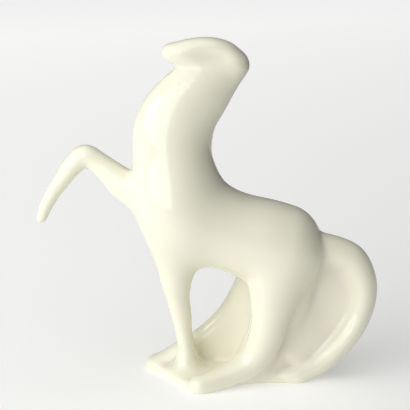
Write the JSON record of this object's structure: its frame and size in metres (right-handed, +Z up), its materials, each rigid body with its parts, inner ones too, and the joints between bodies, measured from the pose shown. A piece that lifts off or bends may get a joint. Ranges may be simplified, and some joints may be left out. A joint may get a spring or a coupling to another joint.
{
  "type": "horse figurine",
  "caption": "Rearing horse ornament in ivory glazed porcelain, hollow cast, sitting back on its haunches and tail on a thin flat base with a foreleg lifted; stands on a shelf or table.",
  "frame": {"origin": "on the table under the belly, in the flat underside of the base, on the horse's middle plane", "axes": "+Z up from the table; -X the way the horse faces, +X towards its tail; -Y the near side that the picture shows, +Y the far side"},
  "size_m": [0.1965, 0.0545, 0.2005],
  "materials": {
    "glazed_porcelain": "clear gloss glaze over ivory porcelain",
    "luting_slip": "fired slip, satin"
  },
  "bodies": {
    "root": {"head": "glazed_porcelain", "neck": "glazed_porcelain", "torso": "glazed_porcelain", "raised_foreleg": "glazed_porcelain", "standing_foreleg": "glazed_porcelain", "near_hind_leg": "glazed_porcelain", "far_hind_leg": "glazed_porcelain", "tail": "glazed_porcelain", "base": "glazed_porcelain", "head_slip": "luting_slip", "neck_slip": "luting_slip", "raised_foreleg_slip": "luting_slip", "shoulder_slip": "luting_slip", "near_hip_slip": "luting_slip", "far_hip_slip": "luting_slip", "haunch_slip": "luting_slip", "tail_slip": "luting_slip", "standing_foot_slip": "luting_slip", "near_foot_slip": "luting_slip", "far_foot_slip": "luting_slip", "tail_foot_slip": "luting_slip"}
  },
  "joints": []
}
